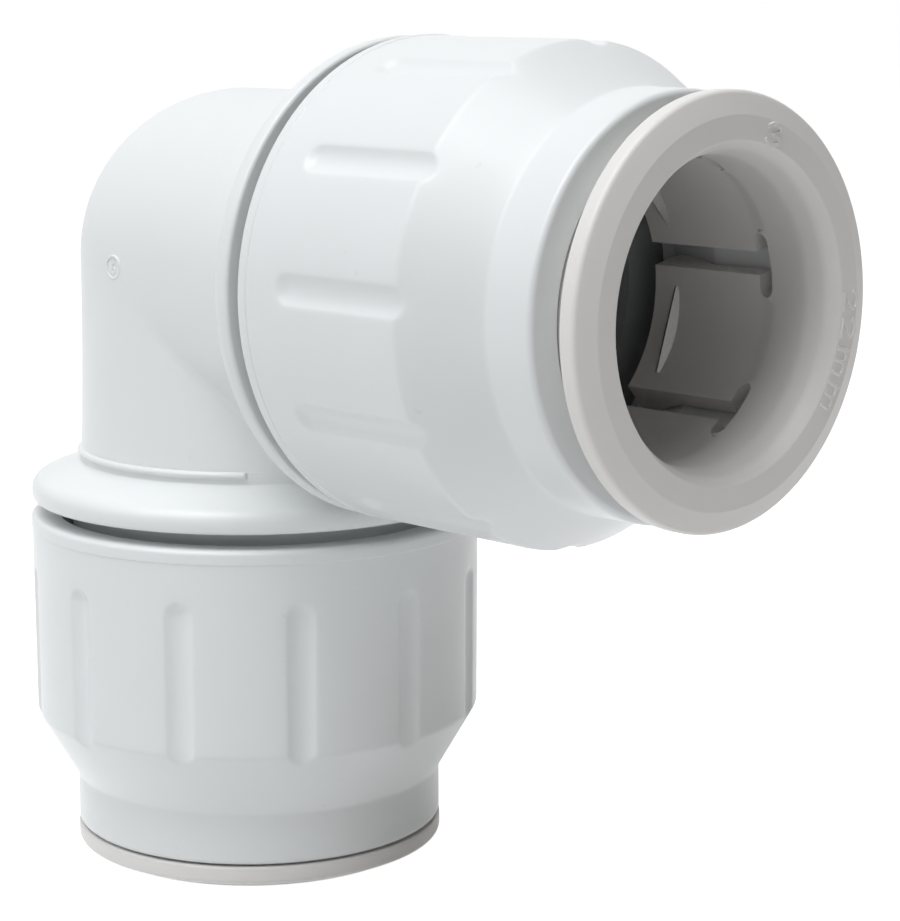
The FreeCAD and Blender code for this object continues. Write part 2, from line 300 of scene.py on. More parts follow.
def seal_rubber():
    """Black lubricated rubber with a dull bloom."""
    n = Nodes("seal_rubber")
    bloom = n.noise(700.0, 4.0)
    base = n.mix(bloom.clamp(0.35, 0.75), (0.018, 0.018, 0.019), (0.045, 0.045, 0.047))
    return n.set(Base_Color=base, Roughness=0.38 + bloom * 0.22, Normal=n.bump(bloom, 0.02 * MM, 0.3))


# ---------------------------------------------------------------- shapes

def rounded(corners, arc_points=7):
    """Points of a profile through (along, radius, rounding) corners, with each corner's arc sampled."""
    points = []
    for i, (along, radius, rounding) in enumerate(corners):
        corner = np.array((along, radius))
        if rounding == 0 or i in (0, len(corners) - 1):
            points.append(corner)
            continue
        back = np.array(corners[i - 1][:2]) - corner
        ahead = np.array(corners[i + 1][:2]) - corner
        back /= np.linalg.norm(back)
        ahead /= np.linalg.norm(ahead)
        half = math.acos(np.clip(back @ ahead, -1, 1)) / 2
        run = rounding / math.tan(half)
        centre = corner + (back + ahead) / np.linalg.norm(back + ahead) * rounding / math.sin(half)
        first = corner + back * run - centre
        last = corner + ahead * run - centre
        sweep = math.atan2(first[0] * last[1] - first[1] * last[0], first @ last)
        for t in np.linspace(0, sweep, arc_points):
            c, s = math.cos(t), math.sin(t)
            points.append(centre + np.array((first[0] * c - first[1] * s, first[0] * s + first[1] * c)))
    return np.array(points)


def refined(points, step):
    """A profile with its long runs divided; step(along) gives the longest run allowed there."""
    out = [points[0]]
    for first, last in zip(points[:-1], points[1:]):
        length = np.linalg.norm(last - first)
        done = 0.0
        while done < length - 1e-9:
            here = first + (last - first) * done / length
            left = length - done
            stride = min(step(here[0]), left)
            if left < 1.5 * stride:
                stride = left
            done += stride
            out.append(first + (last - first) * done / length)
    return np.array(out)


def soft_step(x):
    """0 below 0, 1 above 1, smooth between."""
    x = np.clip(x, 0.0, 1.0)
    return x * x * (3 - 2 * x)


def grid_faces(rows, columns, wrap):
    """Quads of a grid of rows by columns, closed round its columns if wrap."""
    across = columns if wrap else columns - 1
    r, c = np.meshgrid(np.arange(rows - 1), np.arange(across), indexing="ij")
    n = (c + 1) % columns
    row, ahead = r * columns, (r + 1) * columns
    quads = np.stack((row + c, row + n, ahead + n, ahead + c), axis=-1)
    return quads.reshape(-1, 4)


def ring_points(along, radius, angles):
    """Vertices for matching arrays of distance along, radius and angle about the port axis."""
    return np.stack((radius * np.cos(angles), radius * np.sin(angles), along), axis=-1)


def new_object(name, vertices, faces):
    """A mesh object at the origin, not yet finished."""
    mesh = bpy.data.meshes.new(name)
    mesh.from_pydata(np.asarray(vertices).reshape(-1, 3).tolist(), [], [list(map(int, f)) for f in faces])
    obj = bpy.data.objects.new(name, mesh)
    bpy.context.scene.collection.objects.link(obj)
    return obj


def finished(obj, material, sharp_angle, merge, matrix=None):
    """Welds doubles, turns faces outwards, marks sharp edges, shades smooth and sets the finish."""
    bm = bmesh.new()
    bm.from_mesh(obj.data)
    bmesh.ops.remove_doubles(bm, verts=bm.verts, dist=merge)
    bmesh.ops.dissolve_degenerate(bm, edges=bm.edges, dist=merge)
    if matrix:
        bm.transform(matrix)
    bmesh.ops.recalc_face_normals(bm, faces=bm.faces)
    limit = math.radians(sharp_angle)
    for edge in bm.edges:
        edge.smooth = not (edge.is_manifold and edge.calc_face_angle() > limit)
    for face in bm.faces:
        face.smooth = True
    bm.to_mesh(obj.data)
    bm.free()
    obj.data.materials.clear()
    obj.data.materials.append(material)
    return obj


def ring_tree(name):
    """Geometry nodes that set copies of a sector evenly about the Z axis and weld them to one mesh."""
    tree = bpy.data.node_groups.new(name, "GeometryNodeTree")
    face = tree.interface
    face.new_socket("Sector", in_out="INPUT", socket_type="NodeSocketGeometry")
    count = face.new_socket("Count", in_out="INPUT", socket_type="NodeSocketInt")
    weld = face.new_socket("Weld distance", in_out="INPUT", socket_type="NodeSocketFloat")
    finish = face.new_socket("Finish", in_out="INPUT", socket_type="NodeSocketMaterial")
    face.new_socket("Ring", in_out="OUTPUT", socket_type="NodeSocketGeometry")

    def node(kind, **settings):
        made = tree.nodes.new(kind)
        for key, value in settings.items():
            setattr(made, key, value)
        return made

    given = node("NodeGroupInput")
    result = node("NodeGroupOutput")
    points = node("GeometryNodePoints")
    index = node("GeometryNodeInputIndex")
    pitch = node("ShaderNodeMath", operation="DIVIDE")
    angle = node("ShaderNodeMath", operation="MULTIPLY")
    turn = node("ShaderNodeCombineXYZ")
    copies = node("GeometryNodeInstanceOnPoints")
    real = node("GeometryNodeRealizeInstances")
    welded = node("GeometryNodeMergeByDistance")
    material = node("GeometryNodeSetMaterial")
    pitch.inputs[0].default_value = math.tau
    link = tree.links.new
    link(given.outputs["Count"], points.inputs["Count"])
    link(given.outputs["Count"], pitch.inputs[1])
    link(index.outputs[0], angle.inputs[0])
    link(pitch.outputs[0], angle.inputs[1])
    link(angle.outputs[0], turn.inputs["Z"])
    link(points.outputs[0], copies.inputs["Points"])
    link(given.outputs["Sector"], copies.inputs["Instance"])
    link(turn.outputs[0], copies.inputs["Rotation"])
    link(copies.outputs[0], real.inputs[0])
    link(real.outputs[0], welded.inputs["Geometry"])
    link(given.outputs["Weld distance"], welded.inputs["Distance"])
    link(welded.outputs[0], material.inputs["Geometry"])
    link(given.outputs["Finish"], material.inputs["Material"])
    link(material.outputs[0], result.inputs[0])
    return tree, {"count": count.identifier, "weld": weld.identifier, "finish": finish.identifier}


def ringed(sector, count, material):
    """Runs the ring tree on a sector and keeps the result as a plain mesh."""
    tree, sockets = ring_tree(sector.name + "_ring")
    modifier = sector.modifiers.new("ring", "NODES")
    modifier.node_group = tree
    modifier[sockets["count"]] = count
    modifier[sockets["weld"]] = RING_WELD
    modifier[sockets["finish"]] = material
    depsgraph = bpy.context.evaluated_depsgraph_get()
    mesh = bpy.data.meshes.new_from_object(sector.evaluated_get(depsgraph))
    sector.modifiers.remove(modifier)
    sector.data = mesh
    return sector


def keep(obj, body, slot, *nodes):
    """Hands a finished piece to the frame."""
    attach(obj, body)
    if nodes:
        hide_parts(*nodes)


# ---------------------------------------------------------------- thread shared by spigot and cap

THREAD_PITCH = 1.9 * MM
THREAD_STARTS = 2
THREAD_HEIGHT = 0.75 * MM
THREAD_FROM = 23.0 * MM
RIB_HALF_WIDTH = 0.58 * MM
RIB_FLANK = 0.30 * MM
RIB_RUN_OUT = 0.9 * MM
SPIGOT_THREAD = (22.6 * MM, 29.6 * MM)
CAP_THREAD = (24.5 * MM, 29.1 * MM)
THREAD_ROW = 0.17 * MM
SPIGOT_RADIUS = 15.6 * MM
CAP_BORE_RADIUS = 16.55 * MM
NOSE_BORE_RADIUS = 12.9 * MM
CAVITY_RADIUS = 15.2 * MM


def thread_rib(along, angles, shift, span):
    """Height of the helical ribs at points of a surface, faded out at both ends of their span."""
    turns = (along - THREAD_FROM - shift) / (THREAD_PITCH * THREAD_STARTS) - angles / math.tau
    off = np.abs((turns * THREAD_STARTS + 0.5) % 1.0 - 0.5) * THREAD_PITCH
    rib = soft_step((RIB_HALF_WIDTH - off) / RIB_FLANK)
    ends = soft_step((along - span[0]) / RIB_RUN_OUT) * soft_step((span[1] - along) / RIB_RUN_OUT)
    return THREAD_HEIGHT * rib * ends


# ---------------------------------------------------------------- elbow body

STOP_SET_BACK = 0.63 * MM
SOCKET_DEPTH = 6.1 * MM
SOCKET_RADIUS = 11.2 * MM
SEAL_BORE_RADIUS = 14.0 * MM
WATERWAY_LEG = 12.0 * MM
WATERWAY_LEAST_ROUND = 0.3 * MM
CORNER_SOFTNESS = 0.6 * MM
# A raised line runs round the tube just behind the bead, but not near the crotch.
LINE_SET_BACK = 0.75 * MM
LINE_HALF_WIDTH = 0.3 * MM
LINE_END = math.radians(42.5)
LINE_END_FADE = math.radians(1.2)


def leg_path(radius_at, corner_start, least_round, psi, straight_from, straight_rows, arc_rows):
    """Rows along a leg's skin, from straight_from to the mitre plane; psi is the angle from the crotch."""
    cosine = np.cos(psi)
    radius = np.full_like(psi, radius_at(0.0))
    for _ in range(4):
        spare = -radius * cosine - corner_start - least_round
        bend = least_round + 0.5 * (spare + np.sqrt(spare ** 2 + CORNER_SOFTNESS ** 2))
        tangent = -radius * cosine - bend
        radius = radius_at(np.maximum(-tangent, 0.0))
    rows = []
    for t in np.linspace(0, 1, straight_rows):
        z = -straight_from + (tangent + straight_from) * t
        r = radius_at(np.maximum(-z, 0.0))
        r = r + (radius - r) * t
        rows.append(np.stack((r * cosine, r * np.sin(psi), z), axis=-1))
    for angle in np.linspace(0, math.pi / 4, arc_rows)[1:]:
        x = radius * cosine + bend - bend * math.cos(angle)
        z = tangent + bend * math.sin(angle)
        rows.append(np.stack((x, radius * np.sin(psi), z), axis=-1))
    return rows


def elbow_leg(sizes, port):
    """One leg's skin, inside and outside, from the mitre plane round the spigot and back."""
    even = np.linspace(0, math.tau, 240, endpoint=False)
    close = np.radians([-1.6, -1.2, -0.8, -0.4, 0.4, 0.8, 1.2])
    psi = np.unique(np.concatenate((even, LINE_END + close, math.tau - LINE_END - close)))
    from_crotch = np.minimum(psi, math.tau - psi)
    bead_face = sizes.bead_start + sizes.bead_width
    stop = bead_face + STOP_SET_BACK
    socket_end = stop + SOCKET_DEPTH
    angles = psi if port == "side" else math.pi - psi

    def ring(along, radius):
        r = np.broadcast_to(radius, psi.shape)
        return np.stack((r * np.cos(psi), r * np.sin(psi), np.full_like(psi, -along)), axis=-1)

    def tube(along):
        return sizes.tube_radius + (sizes.tube_end_radius - sizes.tube_radius) * along / sizes.bead_start

    rows = leg_path(lambda along: sizes.waterway_radius, 0.0, WATERWAY_LEAST_ROUND, psi,
                    WATERWAY_LEG, 10, 10)[::-1]
    rows += [ring(a, r) for a, r in rounded([
        (WATERWAY_LEG + 0.5 * MM, sizes.waterway_radius, 0),
        (stop, sizes.waterway_radius, 0.25 * MM),
        (stop, SOCKET_RADIUS, 0.15 * MM),
        (socket_end, SOCKET_RADIUS, 0.15 * MM),
        (socket_end, SEAL_BORE_RADIUS, 0.2 * MM),
        (SPIGOT_END, SEAL_BORE_RADIUS, 0.3 * MM),
        (SPIGOT_END, SPIGOT_RADIUS, 0.4 * MM),
        (SPIGOT_END - 1.0 * MM, SPIGOT_RADIUS, 0),
    ], 5)]
    for a in np.arange(SPIGOT_END - 1.2 * MM, bead_face + 0.6 * MM, -THREAD_ROW):
        rows.append(ring(a, SPIGOT_RADIUS + thread_rib(a, angles, 0.0, SPIGOT_THREAD)))
    line_middle = sizes.bead_start - LINE_SET_BACK
    rows += [ring(a, r) for a, r in refined(rounded([
        (bead_face + 0.3 * MM, SPIGOT_RADIUS, 0),
        (bead_face, SPIGOT_RADIUS, 0.15 * MM),
        (bead_face, BEAD_RADIUS - 0.08 * MM, 0.35 * MM),
        (bead_face - 0.6 * MM, BEAD_RADIUS, 1.0 * MM),
        (sizes.bead_start + 1.6 * MM, BEAD_RADIUS, 1.3 * MM),
        (sizes.bead_start, sizes.tube_end_radius, 0.14 * MM),
        (line_middle + LINE_HALF_WIDTH, sizes.tube_end_radius, 0),
    ], 9), lambda along: 0.35 * MM)]
    covered = soft_step((from_crotch - LINE_END) / LINE_END_FADE + 0.5)
    for t in (0.97, 0.85, 0.6, 0.3, 0.0, -0.3, -0.6, -0.85, -0.97):
        line = LINE_HALF_WIDTH * math.sqrt(1 - t * t) * covered
        rows.append(ring(line_middle + LINE_HALF_WIDTH * t, sizes.tube_end_radius + line))
    rows += leg_path(tube, sizes.corner_start, sizes.crease_round, psi,
                     line_middle - LINE_HALF_WIDTH, 28, 18)
    vertices = np.array(rows)
    faces = grid_faces(len(rows), len(psi), True)
    if port == "side":
        vertices = np.stack((-vertices[..., 2], vertices[..., 1], -vertices[..., 0]), axis=-1)
        faces = faces[:, ::-1]
    return vertices.reshape(-1, 3), faces


def trimmed_leg(sizes, port):
    """A leg cut off at the mitre plane, where the two beads meet."""
    leg = new_object("leg_" + port, *elbow_leg(sizes, port))
    bm = bmesh.new()
    bm.from_mesh(leg.data)
    past = 1 if port == "lower" else -1
    bmesh.ops.bisect_plane(bm, geom=bm.verts[:] + bm.edges[:] + bm.faces[:], dist=1e-6,
                           plane_co=(0, 0, 0), plane_no=(past, 0, past), clear_outer=True)
    bm.to_mesh(leg.data)
    bm.free()
    return leg


def joined(objects, name):
    """One object from several."""
    bm = bmesh.new()
    for obj in objects:
        bm.from_mesh(obj.data)
        bpy.data.objects.remove(obj)
    mesh = bpy.data.meshes.new(name)
    bm.to_mesh(mesh)
    bm.free()
    made = bpy.data.objects.new(name, mesh)
    bpy.context.scene.collection.objects.link(made)
    return made


def build_elbow(sizes, material):
    """Both legs, welded at the mitre."""
    shell = joined([trimmed_leg(sizes, port) for port in PORTS], "elbow_shell")
    return finished(shell, material, 30.0, SHELL_WELD)


# ---------------------------------------------------------------- screw cap

FLANK_LENGTH = 17.07 * MM
CONE_LENGTH = 5.7 * MM
# The fluted skin and the lining meet this far inside the rim and inside the nose.
RIM_SEAM = 0.35 * MM
NOSE_SEAM = 0.6 * MM
# Places along the port: the spacer's seat, then the cavity round the collet's legs.
SPACER_SEAT = 32.77 * MM
CAVITY_STRAIGHT_END = 34.05 * MM
CAVITY_TAPER_END = 40.27 * MM


def cap_outline(sizes):
    """Outer profile from the thread's mouth at the rim to the bore of the nose."""
    shoulder = CAP_START + FLANK_LENGTH
    corners = [
        (CAP_START + RIM_SEAM, CAP_BORE_RADIUS, 0),
        (CAP_START, CAP_BORE_RADIUS + 0.3 * MM, 0.1 * MM),
        (CAP_START, CAP_RADIUS, 0.45 * MM),
        (CAP_START + 1.12 * MM, CAP_RADIUS, 0.03 * MM),
        (CAP_START + 1.18 * MM, CAP_FLANK, 0.03 * MM),
        (shoulder, CAP_RADIUS - 0.11 * MM, 1.2 * MM),
        (shoulder + CONE_LENGTH, sizes.nose_radius, 1.0 * MM),
        (CAP_END, sizes.nose_radius, 0.5 * MM),
        (CAP_END, NOSE_BORE_RADIUS, 0.3 * MM),
        (CAP_END - NOSE_SEAM, NOSE_BORE_RADIUS, 0),
    ]
    first = CAP_START + sizes.flute_start

    def step(along):
        if first - 0.5 * MM < along < first + 1.6 * MM:
            return 0.11 * MM
        if shoulder - 0.3 * MM < along < shoulder + 1.9 * MM:
            return 0.13 * MM
        return 1.0 * MM

    return refined(rounded(corners), step)


def flute_cut(sizes, along, turn, radius):
    """How far one flute, a hollow groove with a hollowed start, cuts into the flank at a place."""
    hollow = (sizes.flute_width ** 2 / 4 + sizes.flute_depth ** 2) / (2 * sizes.flute_depth)
    axis = CAP_FLANK - sizes.flute_depth + hollow
    before = np.minimum(along - CAP_START - sizes.flute_start - sizes.flute_width / 2, 0.0)
    reach = hollow ** 2 - before ** 2 - (axis * np.sin(turn)) ** 2
    inside = radius - axis * np.cos(turn) + np.sqrt(np.maximum(reach, 0.0))
    away = np.sqrt(radius ** 2 + axis ** 2 - 2 * radius * axis * np.cos(turn) + before ** 2) - hollow
    depth = np.where((reach > 0) & (away < 0), inside, -away)
    return 0.5 * (depth + np.hypot(depth, sizes.flute_edge))


def cap_sector_angles(sizes):
    """Angles across one flute's share of the cap, close together at the flute's edges."""
    edge = sizes.flute_width / 2 / CAP_RADIUS
    share = math.pi / sizes.flute_count
    half = np.concatenate((
        np.linspace(0, edge * 0.8, 8),
        np.linspace(edge * 0.86, edge * 1.2, 8),
        np.linspace(edge * 1.35, share, 7),
    ))
    return np.concatenate((-half[:0:-1], half))


def build_cap(sizes, port, phase, material):
    """Fluted skin repeated round the cap, with the threaded inside welded in."""
    outline = cap_outline(sizes)
    angles = cap_sector_angles(sizes)
    along, turn = np.meshgrid(outline[:, 0], angles, indexing="ij")
    radius = np.broadcast_to(outline[:, 1:2], along.shape)
    flank = (radius > sizes.nose_radius + 0.1 * MM) & (along > CAP_START + 2 * MM)
    cut = np.where(flank, flute_cut(sizes, along, turn, radius), 0.0)
    skin = new_object(port + "_cap_shell", ring_points(along, radius - cut, turn),
                      grid_faces(*along.shape, False))
    skin = ringed(skin, sizes.flute_count, material)

    share = math.tau / sizes.flute_count
    around = np.concatenate([angles[:-1] + i * share for i in range(sizes.flute_count)])
    inner = rounded([
        (CAP_END - NOSE_SEAM, NOSE_BORE_RADIUS, 0),
        (CAVITY_TAPER_END, NOSE_BORE_RADIUS, 0.5 * MM),
        (CAVITY_STRAIGHT_END, CAVITY_RADIUS, 0.3 * MM),
        (SPACER_SEAT, CAVITY_RADIUS, 0.15 * MM),
        (SPACER_SEAT, CAP_BORE_RADIUS, 0.15 * MM),
        (30.0 * MM, CAP_BORE_RADIUS, 0),
    ], 5)
    threaded = [(a, CAP_BORE_RADIUS) for a in np.arange(29.8 * MM, 23.9 * MM, -THREAD_ROW)]
    rows = np.concatenate((inner, threaded, [(CAP_START + RIM_SEAM, CAP_BORE_RADIUS)]))
    along, turn = np.meshgrid(rows[:, 0], around, indexing="ij")
    radius = np.broadcast_to(rows[:, 1:2], along.shape)
    # The thread keeps its place in the port; the flutes are turned by their own phase.
    rib = thread_rib(along, turn + phase, THREAD_PITCH / 2, CAP_THREAD)
    lining = new_object(port + "_cap_lining", ring_points(along, radius - rib, turn),
                        grid_faces(*along.shape, True))
    shell = joined([skin, lining], port + "_cap_shell")
    return finished(shell, material, 32.0, SHELL_WELD, PORT_TURN[port] @ Matrix.Rotation(phase, 4, "Z"))


# ---------------------------------------------------------------- collet

BARREL_RADIUS = 12.75 * MM
HEAD_RADIUS = 14.2 * MM
HEAD_CHAMFER = 0.4 * MM
HEAD_END = 36.42 * MM
SLOPE_END = 40.13 * MM
LEG_RELIEF = 0.2 * MM
SLOT_END_DEPTH = 5.8 * MM
SLOT_ROUND = 0.675 * MM
FLANGE_WIDTH = 2.13 * MM
FACE_CONE_WIDTH = 1.75 * MM
FACE_CONE_DEPTH = 0.8 * MM


def collet_skins(sizes, mark_height):
    """Outer and inner profile of the slotted legs at shared places, and the profile of the solid front."""
    face = COLLET_FACE
    slot_end = face - SLOT_END_DEPTH
    outer = np.array([
        (COLLET_DEEP, HEAD_RADIUS - HEAD_CHAMFER),
        (COLLET_DEEP + HEAD_CHAMFER, HEAD_RADIUS),
        (HEAD_END, HEAD_RADIUS),
        (SLOPE_END, BARREL_RADIUS),
        (slot_end, BARREL_RADIUS),
    ])
    slot_low = slot_end - 2 * SLOT_ROUND
    places = np.unique(np.concatenate((
        outer[:-1, 0],
        np.linspace(COLLET_DEEP + HEAD_CHAMFER, slot_low, 16),
        (slot_low, slot_end - SLOT_ROUND, slot_end),
    )))
    outer_radius = np.interp(places, outer[:, 0], outer[:, 1])
    front = refined(rounded([
        (slot_end, BARREL_RADIUS, 0),
        (face - FLANGE_WIDTH, BARREL_RADIUS, 0.15 * MM),
        (face - FLANGE_WIDTH, COLLET_RADIUS, 0.22 * MM),
        (face - FACE_CONE_DEPTH, COLLET_RADIUS, 0.45 * MM),
        (face - mark_height, COLLET_RADIUS - FACE_CONE_WIDTH, 0.3 * MM),
        (face - mark_height, sizes.face_inner_radius, 0.22 * MM),
        (face - 1.1 * MM, sizes.throat_radius + 0.42 * MM, 2.2 * MM),
        (face - 2.65 * MM, sizes.throat_radius, 2.6 * MM),
        (slot_end, sizes.throat_radius, 0),
    ], 9), lambda along: 0.6 * MM)
    return places, outer_radius, np.full_like(places, sizes.throat_radius + LEG_RELIEF), front


def build_collet(sizes, port, phase, shift, material):
    """One leg's sector with half a T slot at each side, repeated round the collet."""
    places, outer_radius, inner_radius, front = collet_skins(sizes, MARK_HEIGHT if port == "side" else 0.0)
    share = math.pi / sizes.leg_count
    tip = sizes.slot_head_span / 2
    edge = sizes.slot_width / 2
    near_tip = tip - SLOT_ROUND * (1 - np.cos(np.linspace(0, math.pi / 2, 6)))
    offsets = np.concatenate((near_tip, np.linspace(near_tip[-1], edge, 6)[1:], [edge / 2, 0.0]))
    tip_column = 12
    edge_column = tip_column + len(offsets) - 3
    columns = tip_column + len(offsets)
    low_row, mid_row, high_row = len(places) - 3, len(places) - 2, len(places) - 1

    def column_angles(radius):
        """Angle of each column from the leg's middle, at one radius."""
        to_tip = share - math.asin(tip / radius)
        plain = np.linspace(0, to_tip, tip_column, endpoint=False)
        return np.concatenate((plain, share - np.arcsin(offsets / radius)))

    def skin(radii):
        """Points of one slotted skin; the cross slot's rows close to a round end."""
        rows = []
        for i, (a, r) in enumerate(zip(places, radii)):
            along = np.full(columns, a)
            if i in (low_row, high_row):
                run = np.clip(tip - offsets, 0, SLOT_ROUND)
                half = np.sqrt(np.maximum(SLOT_ROUND ** 2 - (SLOT_ROUND - run) ** 2, 0))
                along[tip_column:] = places[mid_row] + np.sign(i - mid_row) * half
            rows.append(ring_points(along, np.full(columns, r), column_angles(r)))
        return np.array(rows)

    outer, inner = skin(outer_radius), skin(inner_radius)
    inner[high_row, :, :] = ring_points(inner[high_row, :, 2], np.full(columns, sizes.throat_radius),
                                        column_angles(sizes.throat_radius))
    solid = np.array([ring_points(np.full(columns, a), np.full(columns, r), column_angles(r))
                      for a, r in front])
    solid[0] = outer[high_row]
    solid[-1] = inner[high_row]
    blocks = [outer, inner, solid]
    start = np.cumsum([0] + [len(b) * columns for b in blocks])

    def at(block, row, column):
        return start[block] + row * columns + column

    def open_cell(row, column):
        if row >= low_row:
            return column >= tip_column
        return column >= edge_column

    faces = []
    for row in range(len(places) - 1):
        for column in range(columns - 1):
            if open_cell(row, column):
                continue
            for block in (0, 1):
                faces.append((at(block, row, column), at(block, row, column + 1),
                              at(block, row + 1, column + 1), at(block, row + 1, column)))
    for row in range(len(front) - 1):
        for column in range(columns - 1):
            faces.append((at(2, row, column), at(2, row, column + 1),
                          at(2, row + 1, column + 1), at(2, row + 1, column)))

    def wall(first, second):
        faces.append((at(0, *first), at(0, *second), at(1, *second), at(1, *first)))

    for column in range(edge_column):
        wall((0, column), (0, column + 1))
    for row in range(low_row):
        wall((row, edge_column), (row + 1, edge_column))
    for column in range(tip_column, edge_column):
        wall((low_row, column), (low_row, column + 1))
    for column in range(tip_column, columns - 1):
        wall((high_row, column), (high_row, column + 1))
    half = np.concatenate([b.reshape(-1, 3) for b in blocks])
    other = half * (1, -1, 1)
    faces = np.array(faces)
    sector = new_object(port + "_collet_shell", np.concatenate((half, other)),
                        np.concatenate((faces, faces[:, ::-1] + len(half))))
    finished(sector, material, 35.0, SHELL_WELD)
    sector = ringed(sector, sizes.leg_count, material)
    place = PORT_TURN[port] @ Matrix.Translation((0, 0, -shift)) @ Matrix.Rotation(phase + share, 4, "Z")
    return finished(sector, material, 35.0, SHELL_WELD, place)


# ---------------------------------------------------------------- raised marks

# Text, place round the face in degrees, distance of its foot from the axis, and height of its letters.
FACE_LETTERING = (
    ("2", 180.0, 12.5 * MM, 1.45 * MM),
    ("2", 189.0, 12.5 * MM, 1.45 * MM),
    ("m", 200.0, 12.5 * MM, 1.45 * MM),
    ("m", 212.0, 12.5 * MM, 1.45 * MM),
    ("3", 107.5, 12.35 * MM, 1.5 * MM),
)
FACE_MARK_ROOT = 0.35 * MM
CAVITY_CIRCLE_RADIUS = 0.9 * MM
CAVITY_DIGIT_HEIGHT = 0.95 * MM
CAVITY_MARK_ROOT = 0.15 * MM
# Middle of the cavity mark, along the side port and upwards from the crossing of the port axes.
CAVITY_MARK_PLACE = (-0.2 * MM, 0.4 * MM)

# Strokes of each glyph on a cell one unit high; x runs to the right, y up.
GLYPHS = {
    "2": [[(0.02, 0.78), (0.10, 0.95), (0.28, 1.0), (0.46, 0.94), (0.54, 0.76), (0.44, 0.54), (0.02, 0.0),
           (0.56, 0.0)]],
    "m": [[(0.0, 0.0), (0.0, 0.68)], [(0.0, 0.5), (0.12, 0.66), (0.27, 0.68), (0.38, 0.54), (0.38, 0.0)],
          [(0.38, 0.5), (0.50, 0.66), (0.65, 0.68), (0.76, 0.54), (0.76, 0.0)]],
    "3": [[(0.03, 0.84), (0.16, 0.98), (0.34, 1.0), (0.52, 0.88), (0.50, 0.66), (0.26, 0.54), (0.52, 0.42),
           (0.56, 0.18), (0.36, 0.01), (0.14, 0.02), (0.0, 0.16)]],
    "6": [[(0.48, 0.96), (0.24, 0.84), (0.06, 0.52), (0.04, 0.26), (0.16, 0.05), (0.34, 0.0), (0.52, 0.12),
           (0.54, 0.34), (0.40, 0.50), (0.22, 0.50), (0.06, 0.36)]],
}


def stroke_solid(path, width, depth, height, closed=False):
    """A flat ribbon with chamfered top along a path in its own plane; a closed mesh as (vertices, faces)."""
    path = np.array(path, dtype=float)
    ahead = np.roll(path, -1, axis=0) - path
    behind = path - np.roll(path, 1, axis=0)
    if not closed:
        ahead[-1] = behind[-1]
        behind[0] = ahead[0]
    ahead /= np.linalg.norm(ahead, axis=1)[:, None]
    behind /= np.linalg.norm(behind, axis=1)[:, None]
    way = ahead + behind
    way /= np.linalg.norm(way, axis=1)[:, None]
    if not closed:
        path = path.copy()
        path[0] -= way[0] * width / 2
        path[-1] += way[-1] * width / 2
    side = np.stack((-way[:, 1], way[:, 0]), axis=1) * width / 2
    section = [(1.0, -depth), (1.0, height * 0.2), (0.55, height), (-0.55, height), (-1.0, height * 0.2),
               (-1.0, -depth)]
    rows = [np.column_stack((path + side * across, np.full(len(path), up))) for across, up in section]
    points = np.array(rows).transpose(1, 0, 2).reshape(-1, 3)
    count, ring = len(path), len(section)
    faces = [(i * ring + j, i * ring + (j + 1) % ring, (i + 1) % count * ring + (j + 1) % ring,
              (i + 1) % count * ring + j)
             for i in range(count if closed else count - 1) for j in range(ring)]
    if not closed:
        faces += [tuple(range(ring)), tuple(reversed(range((count - 1) * ring, count * ring)))]
    return points, faces


def gathered(name, parts):
    """One object from several (vertices, faces) lists."""
    vertices, faces = [], []
    for points, quads in parts:
        faces += [tuple(i + len(vertices) for i in quad) for quad in quads]
        vertices += [tuple(p) for p in points]
    return new_object(name, vertices, faces)


def face_marks(sizes, material):
    """Pipe size and cavity number round the side collet's front face."""
    parts = []
    for text, at, base, height in FACE_LETTERING:
        width = max(x for stroke in GLYPHS[text] for x, _ in stroke)
        for index, stroke in enumerate(GLYPHS[text]):
            path = [((x - width / 2) * height * sizes.mark_stretch, y * height) for x, y in stroke]
            # Strokes that cross stand at slightly different heights, so no two tops share a plane.
            top = MARK_HEIGHT * (1 - 0.05 * index)
            points, faces = stroke_solid(path, sizes.mark_stroke, FACE_MARK_ROOT, top)
            radius = base + points[:, 1]
            # Seen from outside the letters read clockwise with their tops outwards.
            angles = math.radians(270 - at) - points[:, 0] / (base + height / 2)
            parts.append((ring_points(COLLET_FACE - MARK_HEIGHT + points[:, 2], radius, angles), faces))
    marks = gathered("side_collet_marks", parts)
    return finished(marks, material, 30.0, MARK_WELD, PORT_TURN["side"])


def cavity_mark(sizes, radius, material):
    """Small circled cavity number on the flank of the elbow's corner."""
    turn = np.linspace(0, math.tau, 28, endpoint=False)
    outlines = [(np.column_stack((np.cos(turn), np.sin(turn))) * CAVITY_CIRCLE_RADIUS, True)]
    outlines += [((np.array(stroke) - (0.28, 0.5)) * CAVITY_DIGIT_HEIGHT, False) for stroke in GLYPHS["6"]]
    parts = []
    for path, closed in outlines:
        points, faces = stroke_solid(path, 0.7 * sizes.mark_stroke, CAVITY_MARK_ROOT, 0.5 * MARK_HEIGHT,
                                     closed)
        x = points[:, 0] + CAVITY_MARK_PLACE[0]
        z = points[:, 1] + CAVITY_MARK_PLACE[1]
        wall = np.sqrt(radius ** 2 - x ** 2)
        parts.append((np.column_stack((x, -(wall + points[:, 2]), z)), faces))
    marks = gathered("elbow_cavity_mark", parts)
    return finished(marks, material, 30.0, MARK_WELD)


# ---------------------------------------------------------------- stage

SURROUND_COLOUR = (1.0, 0.985, 0.965)
COOL_LIGHT = (0.97, 0.985, 1.0)
WARM_LIGHT = (1.0, 0.76, 0.5)
FLOOR_HALF_SIZE = 3.0
# Rays that see the backdrop as plain white, whatever light it gives.
SEEN_RAYS = ("Is Camera Ray", "Is Glossy Ray", "Is Transmission Ray")


